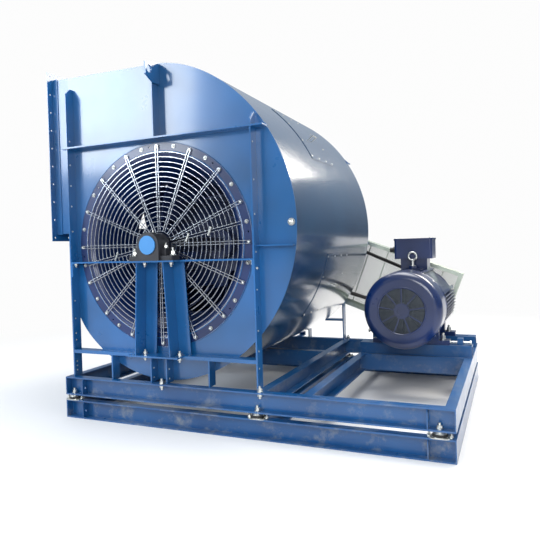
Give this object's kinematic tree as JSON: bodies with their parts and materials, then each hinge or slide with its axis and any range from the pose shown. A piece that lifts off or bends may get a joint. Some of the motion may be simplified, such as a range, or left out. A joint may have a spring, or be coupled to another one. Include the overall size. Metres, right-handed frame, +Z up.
{
  "type": "centrifugal fan",
  "caption": "Belt-driven centrifugal fan with two inlets, a scroll housing and a side motor, on two channel frames with isolators between them.",
  "frame": {"origin": "on the floor, at the centre of the lower frame's four anchor holes, under the middle of the base", "axes": "+X along the front of the base away from the outlet, +Y along the shafts from the open inlet side to the belt side, +Z up"},
  "size_m": [2.64, 2.17, 2.353],
  "materials": {
    "blue_paint": "glossy deep blue paint",
    "motor_blue": "glossy dark navy paint",
    "light_blue_cap": "satin light blue paint",
    "zinc_plate": "bright zinc plate",
    "bright_wire": "bright plated wire",
    "galvanised": "pale galvanised sheet",
    "rubber": "matte black rubber",
    "black_iron": "black painted casting",
    "steel": "machined steel",
    "black_plastic": "black moulded plastic"
  },
  "bodies": {
    "base_and_housing": {"bearing_beams": "blue_paint", "bearing_bolts": "zinc_plate", "bearing_covers": "light_blue_cap", "belt_guard": "galvanised", "belt_guard_brackets": "blue_paint", "door_handles": "zinc_plate", "door_screws": "zinc_plate", "drive_belts": "rubber", "frame_bolts": "zinc_plate", "front_bearing_housing": "black_iron", "front_guard": "bright_wire", "front_inlet_cone": "blue_paint", "front_legs": "blue_paint", "front_side_plate": "blue_paint", "guard_clips": "zinc_plate", "inlet_ring_bolts": "zinc_plate", "isolator_bolts": "zinc_plate", "isolator_housings": "zinc_plate", "isolator_rubbers": "rubber", "lower_access_door": "blue_paint", "lower_cross_beams": "blue_paint", "lower_rails": "blue_paint", "motor_support_beams": "blue_paint", "outlet_collar": "blue_paint", "outlet_flange": "blue_paint", "pedestals": "blue_paint", "rear_bearing_housing": "black_iron", "rear_guard": "bright_wire", "rear_inlet_cone": "blue_paint", "rear_legs": "blue_paint", "rear_side_plate": "blue_paint", "roller_bearings": "steel", "scroll_support_beam": "blue_paint", "scroll_tongue": "blue_paint", "scroll_wrapper": "blue_paint", "shelves": "blue_paint", "slide_rails": "blue_paint", "split_flanges": "blue_paint", "stub_posts": "blue_paint", "top_bars": "blue_paint", "top_stiffeners": "blue_paint", "upper_access_door": "blue_paint", "upper_cross_beams": "blue_paint", "upper_rails": "blue_paint", "web_gussets": "blue_paint"},
    "rotor": {"fan_shaft": "steel", "impeller": "blue_paint", "fan_pulley": "black_iron", "bearing_inner_rings": "steel"},
    "motor": {"motor_frame": "motor_blue", "motor_end_shields": "motor_blue", "motor_fan_cowl": "motor_blue", "terminal_box": "motor_blue", "cable_gland": "black_plastic", "motor_eyebolt": "zinc_plate", "motor_foot_bolts": "zinc_plate", "tension_screws": "zinc_plate"},
    "motor_rotor": {"motor_shaft": "steel", "motor_cooling_fan": "black_plastic", "motor_pulley": "black_iron"}
  },
  "joints": [
    {"name": "fan_spin", "type": "hinge", "parent": "base_and_housing", "child": "rotor", "pos_m": [-0.525, 0, 1.14], "axis": [0, -1, 0], "continuous": true},
    {"name": "motor_slide", "type": "slide", "parent": "base_and_housing", "child": "motor", "axis": [1, 0, 0], "range_m": [-0.03, 0.04], "deforming": ["drive_belts"]},
    {"name": "motor_spin", "type": "hinge", "parent": "motor", "child": "motor_rotor", "pos_m": [0.82, 0, 0.635], "axis": [0, -1, 0], "continuous": true}
  ],
  "couplings": [
    {"joint": "motor_spin", "follows": "fan_spin", "ratio": 1.4925}
  ]
}
